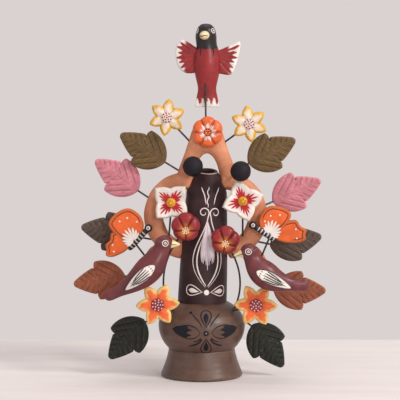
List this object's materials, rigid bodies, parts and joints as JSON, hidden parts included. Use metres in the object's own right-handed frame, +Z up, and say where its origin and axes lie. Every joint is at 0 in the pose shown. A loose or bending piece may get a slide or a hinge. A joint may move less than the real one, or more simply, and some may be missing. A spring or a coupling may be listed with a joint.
{
  "type": "clay tree of life",
  "caption": "Hand-built clay tree of life: a bottle-shaped pot with a looped coil frame carrying painted birds, butterflies, flowers and leaves on wire stems.",
  "frame": {"origin": "centre of the foot's ring on the plane that it stands on", "axes": "+Z up through the pot; the painted front faces -Y; +X to the right as seen from the front"},
  "size_m": [0.2164, 0.0834, 0.3007],
  "materials": {
    "base_clay": "matte earth paint on low-fired clay",
    "dark_slip": "matte earth paint on low-fired clay",
    "terracotta": "matte earth paint on low-fired clay",
    "orange_paint": "matte earth paint on low-fired clay",
    "red_paint": "matte earth paint on low-fired clay",
    "black_paint": "matte earth paint on low-fired clay",
    "yellow_paint": "matte earth paint on low-fired clay",
    "olive_paint": "matte earth paint on low-fired clay",
    "pink_paint": "matte earth paint on low-fired clay",
    "brown_paint": "matte earth paint on low-fired clay",
    "rust_paint": "matte earth paint on low-fired clay",
    "green_paint": "matte earth paint on low-fired clay",
    "white_paint": "matte earth paint on low-fired clay",
    "maroon_paint": "matte earth paint on low-fired clay",
    "stem_wire": "black-brown lacquered wire, satin"
  },
  "bodies": {
    "tree": {"foot": "base_clay", "belly": "base_clay", "bottle": "dark_slip", "top_arch": "terracotta", "loop_left": "terracotta", "loop_right": "terracotta", "arm_left": "terracotta", "arm_right": "terracotta", "crown_flower": "orange_paint"},
    "top_bird_on_stem": {"top_bird": "red_paint", "top_bird_stem": "stem_wire"},
    "berry_left_on_stem": {"berry_left": "black_paint", "berry_left_stem": "stem_wire"},
    "yellow_star_left_on_stem": {"yellow_star_left": "yellow_paint", "yellow_star_left_stem": "stem_wire"},
    "olive_leaf_left_on_stem": {"olive_leaf_left": "olive_paint", "olive_leaf_left_stem": "stem_wire"},
    "pink_leaf_left_on_stem": {"pink_leaf_left": "pink_paint", "pink_leaf_left_stem": "stem_wire"},
    "brown_leaf_left_on_stem": {"brown_leaf_left": "brown_paint", "brown_leaf_left_stem": "stem_wire"},
    "rust_leaf_left_on_stem": {"rust_leaf_left": "rust_paint", "rust_leaf_left_stem": "stem_wire"},
    "green_leaf_left_on_stem": {"green_leaf_left": "green_paint", "green_leaf_left_stem": "stem_wire"},
    "cup_flower_left_on_stem": {"cup_flower_left": "white_paint", "cup_flower_left_stem": "stem_wire"},
    "red_flower_left_on_stem": {"red_flower_left": "red_paint", "red_flower_left_stem": "stem_wire"},
    "butterfly_left_on_stem": {"butterfly_left": "orange_paint", "butterfly_left_stem": "stem_wire"},
    "song_bird_left_on_stem": {"song_bird_left": "maroon_paint", "song_bird_left_stem": "stem_wire"},
    "orange_star_left_on_stem": {"orange_star_left": "orange_paint", "orange_star_left_stem": "stem_wire"},
    "berry_right_on_stem": {"berry_right": "black_paint", "berry_right_stem": "stem_wire"},
    "yellow_star_right_on_stem": {"yellow_star_right": "yellow_paint", "yellow_star_right_stem": "stem_wire"},
    "olive_leaf_right_on_stem": {"olive_leaf_right": "olive_paint", "olive_leaf_right_stem": "stem_wire"},
    "pink_leaf_right_on_stem": {"pink_leaf_right": "pink_paint", "pink_leaf_right_stem": "stem_wire"},
    "brown_leaf_right_on_stem": {"brown_leaf_right": "brown_paint", "brown_leaf_right_stem": "stem_wire"},
    "rust_leaf_right_on_stem": {"rust_leaf_right": "rust_paint", "rust_leaf_right_stem": "stem_wire"},
    "green_leaf_right_on_stem": {"green_leaf_right": "green_paint", "green_leaf_right_stem": "stem_wire"},
    "cup_flower_right_on_stem": {"cup_flower_right": "white_paint", "cup_flower_right_stem": "stem_wire"},
    "red_flower_right_on_stem": {"red_flower_right": "red_paint", "red_flower_right_stem": "stem_wire"},
    "butterfly_right_on_stem": {"butterfly_right": "orange_paint", "butterfly_right_stem": "stem_wire"},
    "song_bird_right_on_stem": {"song_bird_right": "maroon_paint", "song_bird_right_stem": "stem_wire"},
    "orange_star_right_on_stem": {"orange_star_right": "orange_paint", "orange_star_right_stem": "stem_wire"}
  },
  "joints": [
    {"name": "top_bird_sway", "type": "hinge", "parent": "tree", "child": "top_bird_on_stem", "pos_m": [0.0035, -0.001, 0.2115], "axis": [0, 1, 0], "range_deg": [-3, 3]},
    {"name": "berry_left_nod", "type": "hinge", "parent": "tree", "child": "berry_left_on_stem", "pos_m": [-0.0082, 0.0005, 0.1805], "axis": [1, 0, 0], "range_deg": [-3, 3]},
    {"name": "yellow_star_left_sway", "type": "hinge", "parent": "tree", "child": "yellow_star_left_on_stem", "pos_m": [-0.0076, 0, 0.198], "axis": [0, 1, 0], "range_deg": [-3, 3]},
    {"name": "olive_leaf_left_sway", "type": "hinge", "parent": "tree", "child": "olive_leaf_left_on_stem", "pos_m": [-0.01705, 0, 0.1745], "axis": [0, 1, 0], "range_deg": [-3, 3]},
    {"name": "pink_leaf_left_sway", "type": "hinge", "parent": "tree", "child": "pink_leaf_left_on_stem", "pos_m": [-0.04199, 0.0008, 0.15059], "axis": [0, 1, 0], "range_deg": [-3, 3]},
    {"name": "brown_leaf_left_sway", "type": "hinge", "parent": "tree", "child": "brown_leaf_left_on_stem", "pos_m": [-0.03681, 0.001, 0.11597], "axis": [0, 1, 0], "range_deg": [-3, 3]},
    {"name": "rust_leaf_left_sway", "type": "hinge", "parent": "tree", "child": "rust_leaf_left_on_stem", "pos_m": [-0.04855, 0.001, 0.0875], "axis": [0, 1, 0], "range_deg": [-3, 3]},
    {"name": "green_leaf_left_sway", "type": "hinge", "parent": "tree", "child": "green_leaf_left_on_stem", "pos_m": [-0.031, -0.0045, 0.052], "axis": [0, 1, 0], "range_deg": [-3, 3]},
    {"name": "cup_flower_left_sway", "type": "hinge", "parent": "tree", "child": "cup_flower_left_on_stem", "pos_m": [-0.02818, -0.0015, 0.1172], "axis": [0, 1, 0], "range_deg": [-3, 3]},
    {"name": "red_flower_left_sway", "type": "hinge", "parent": "tree", "child": "red_flower_left_on_stem", "pos_m": [-0.0265, -0.005, 0.056], "axis": [0, 1, 0], "range_deg": [-2.5, 2.5]},
    {"name": "butterfly_left_sway", "type": "hinge", "parent": "tree", "child": "butterfly_left_on_stem", "pos_m": [-0.0447, -0.001, 0.098], "axis": [0, 1, 0], "range_deg": [-3, 3]},
    {"name": "song_bird_left_turn", "type": "hinge", "parent": "tree", "child": "song_bird_left_on_stem", "pos_m": [-0.04737, -0.0005, 0.092], "axis": [0, 1, 0], "range_deg": [-3, 3]},
    {"name": "orange_star_left_sway", "type": "hinge", "parent": "tree", "child": "orange_star_left_on_stem", "pos_m": [-0.0215, -0.0125, 0.056], "axis": [0, 1, 0], "range_deg": [-3, 3]},
    {"name": "berry_right_nod", "type": "hinge", "parent": "tree", "child": "berry_right_on_stem", "pos_m": [0.0265, 0.0005, 0.1725], "axis": [1, 0, 0], "range_deg": [-3, 3]},
    {"name": "yellow_star_right_sway", "type": "hinge", "parent": "tree", "child": "yellow_star_right_on_stem", "pos_m": [0.01643, 0, 0.198], "axis": [0, 1, 0], "range_deg": [-3, 3]},
    {"name": "olive_leaf_right_sway", "type": "hinge", "parent": "tree", "child": "olive_leaf_right_on_stem", "pos_m": [0.02588, 0, 0.1745], "axis": [0, 1, 0], "range_deg": [-3, 3]},
    {"name": "pink_leaf_right_sway", "type": "hinge", "parent": "tree", "child": "pink_leaf_right_on_stem", "pos_m": [0.05049, 0.0008, 0.14504], "axis": [0, 1, 0], "range_deg": [-3, 3]},
    {"name": "brown_leaf_right_sway", "type": "hinge", "parent": "tree", "child": "brown_leaf_right_on_stem", "pos_m": [0.04351, 0.001, 0.11597], "axis": [0, 1, 0], "range_deg": [-3, 3]},
    {"name": "rust_leaf_right_sway", "type": "hinge", "parent": "tree", "child": "rust_leaf_right_on_stem", "pos_m": [0.05361, 0.001, 0.083], "axis": [0, 1, 0], "range_deg": [-3, 3]},
    {"name": "green_leaf_right_sway", "type": "hinge", "parent": "tree", "child": "green_leaf_right_on_stem", "pos_m": [0.031, -0.0045, 0.052], "axis": [0, 1, 0], "range_deg": [-3, 3]},
    {"name": "cup_flower_right_sway", "type": "hinge", "parent": "tree", "child": "cup_flower_right_on_stem", "pos_m": [0.03489, -0.0015, 0.1172], "axis": [0, 1, 0], "range_deg": [-3, 3]},
    {"name": "red_flower_right_sway", "type": "hinge", "parent": "tree", "child": "red_flower_right_on_stem", "pos_m": [0.0265, -0.005, 0.056], "axis": [0, 1, 0], "range_deg": [-2.5, 2.5]},
    {"name": "butterfly_right_sway", "type": "hinge", "parent": "tree", "child": "butterfly_right_on_stem", "pos_m": [0.04916, -0.001, 0.098], "axis": [0, 1, 0], "range_deg": [-3, 3]},
    {"name": "song_bird_right_turn", "type": "hinge", "parent": "tree", "child": "song_bird_right_on_stem", "pos_m": [0.05183, -0.0005, 0.092], "axis": [0, 1, 0], "range_deg": [-3, 3]},
    {"name": "orange_star_right_sway", "type": "hinge", "parent": "tree", "child": "orange_star_right_on_stem", "pos_m": [0.0215, -0.0125, 0.056], "axis": [0, 1, 0], "range_deg": [-3, 3]}
  ]
}
